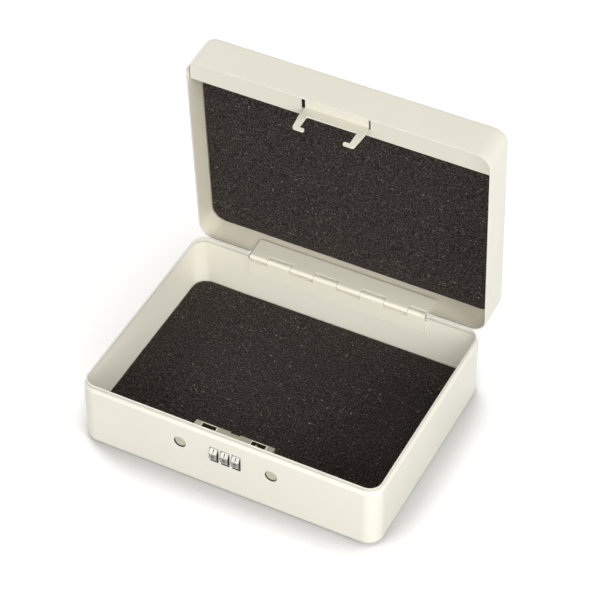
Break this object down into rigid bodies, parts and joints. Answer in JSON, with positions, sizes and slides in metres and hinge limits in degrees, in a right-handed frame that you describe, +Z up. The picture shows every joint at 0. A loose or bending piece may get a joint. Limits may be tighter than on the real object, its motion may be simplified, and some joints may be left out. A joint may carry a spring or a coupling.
{
  "type": "portable car safe",
  "caption": "Small painted steel box safe with a hinged lid held open, foam pads inside, and a dial lock with push buttons and latch hooks.",
  "frame": {"origin": "middle of the underside, on the face the safe rests on", "axes": "+X to the right along the front, +Y from the lock at the front to the hinge at the back, +Z up"},
  "size_m": [0.24, 0.2176, 0.2343],
  "materials": {
    "paint": "ivory paint, satin",
    "foam": "dark foam",
    "zinc": "passivated zinc plating",
    "nickel": "nickel plating",
    "spring_steel": "bare spring steel",
    "plastic": "beige plastic"
  },
  "bodies": {
    "base": {"base_shell": "paint", "base_foam_pad": "foam", "base_hinge_leaf": "paint", "hinge_pin": "zinc", "lock_case": "zinc", "dial_bracket": "zinc", "dial_shaft": "zinc", "code_sleeve_1": "zinc", "code_sleeve_2": "zinc", "code_sleeve_3": "zinc", "code_blocking_plate": "zinc", "dial_detent_spring": "spring_steel", "bracket_rivet_1": "zinc", "bracket_rivet_2": "zinc", "latch_spring_left": "spring_steel", "latch_spring_right": "spring_steel"},
    "lid": {"lid_shell": "paint", "lid_foam_pad": "foam", "lid_hinge_leaf": "paint", "lid_front_rail": "paint", "latch_hook_bracket": "paint"},
    "dial_1": {"dial_wheel_1": "nickel"},
    "dial_2": {"dial_wheel_2": "nickel"},
    "dial_3": {"dial_wheel_3": "nickel"},
    "button_left": {"push_button_left": "plastic"},
    "button_right": {"push_button_right": "plastic"},
    "latch_left": {"latch_slider_left": "zinc"},
    "latch_right": {"latch_slider_right": "zinc"}
  },
  "joints": [
    {"name": "lid_hinge", "type": "hinge", "parent": "base", "child": "lid", "pos_m": [0, 0.0903, 0.0523], "axis": [1, 0, 0], "range_deg": [0, 86]},
    {"name": "dial_1_turn", "type": "hinge", "parent": "base", "child": "dial_1", "pos_m": [-0.0089, -0.0848, 0.0355], "axis": [1, 0, 0], "continuous": true},
    {"name": "dial_2_turn", "type": "hinge", "parent": "base", "child": "dial_2", "pos_m": [0, -0.0848, 0.0355], "axis": [1, 0, 0], "continuous": true},
    {"name": "dial_3_turn", "type": "hinge", "parent": "base", "child": "dial_3", "pos_m": [0.0089, -0.0848, 0.0355], "axis": [1, 0, 0], "continuous": true},
    {"name": "button_left_press", "type": "slide", "parent": "base", "child": "button_left", "axis": [0, 1, 0], "range_m": [0, 0.0026], "stiffness_N_per_m": 500, "springref_m": -0.002},
    {"name": "latch_left_slide", "type": "slide", "parent": "base", "child": "latch_left", "axis": [1, 0, 0], "range_m": [0, 0.0034], "deforming": ["latch_spring_left"]},
    {"name": "button_right_press", "type": "slide", "parent": "base", "child": "button_right", "axis": [0, 1, 0], "range_m": [0, 0.0026], "stiffness_N_per_m": 500, "springref_m": -0.002},
    {"name": "latch_right_slide", "type": "slide", "parent": "base", "child": "latch_right", "axis": [-1, 0, 0], "range_m": [0, 0.0034], "deforming": ["latch_spring_right"]}
  ],
  "couplings": [
    {"joint": "latch_left_slide", "follows": "button_left_press", "ratio": 1.3076},
    {"joint": "latch_right_slide", "follows": "button_right_press", "ratio": 1.3076}
  ]
}
